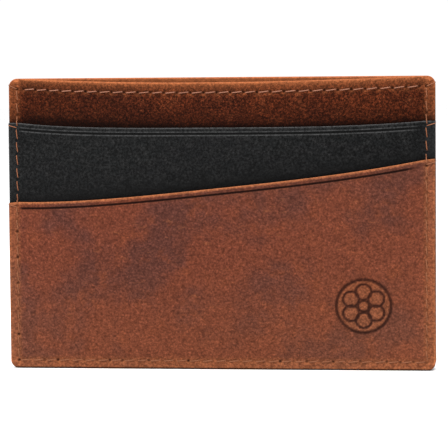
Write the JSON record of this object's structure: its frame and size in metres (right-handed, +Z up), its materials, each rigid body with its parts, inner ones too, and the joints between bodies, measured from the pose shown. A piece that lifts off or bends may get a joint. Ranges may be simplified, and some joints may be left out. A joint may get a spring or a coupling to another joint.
{
  "type": "slim card holder",
  "caption": "Slim leather card holder with card pockets on both faces, a slanted lower pocket, a centre pocket and sewn turned edges.",
  "frame": {"origin": "middle of the footprint, on the surface that the bottom seam stands on", "axes": "+X across the wallet to the right as seen from the front, +Z up from the bottom seam to the mouth; the front faces -Y"},
  "size_m": [0.1008, 0.0128, 0.0682],
  "materials": {
    "brown_panel_leather": "waxed pull-up leather, dark brown, lighter where it is bent",
    "black_leather": "fine-grained black leather, satin",
    "brown_pocket_leather": "waxed pull-up leather, reddish brown, mottled",
    "lining_cloth": "thin woven lining, dark brown",
    "nylon_tape": "thin non-woven reinforcement tape",
    "thread": "waxed polyester sewing thread"
  },
  "bodies": {
    "root": {"front_panel": "brown_panel_leather", "back_panel": "brown_panel_leather", "front_upper_pocket": "black_leather", "back_upper_pocket": "black_leather", "front_lower_pocket": "brown_pocket_leather", "back_lower_pocket": "brown_pocket_leather", "front_panel_lining": "lining_cloth", "back_panel_lining": "lining_cloth", "front_panel_mouth_tape": "nylon_tape", "front_upper_pocket_mouth_tape": "nylon_tape", "front_lower_pocket_mouth_tape": "nylon_tape", "back_panel_mouth_tape": "nylon_tape", "back_upper_pocket_mouth_tape": "nylon_tape", "back_lower_pocket_mouth_tape": "nylon_tape", "front_mouth_outer_thread": "thread", "front_mouth_inner_thread": "thread", "back_mouth_outer_thread": "thread", "back_mouth_inner_thread": "thread", "front_seam_thread": "thread", "back_seam_thread": "thread"}
  },
  "joints": []
}
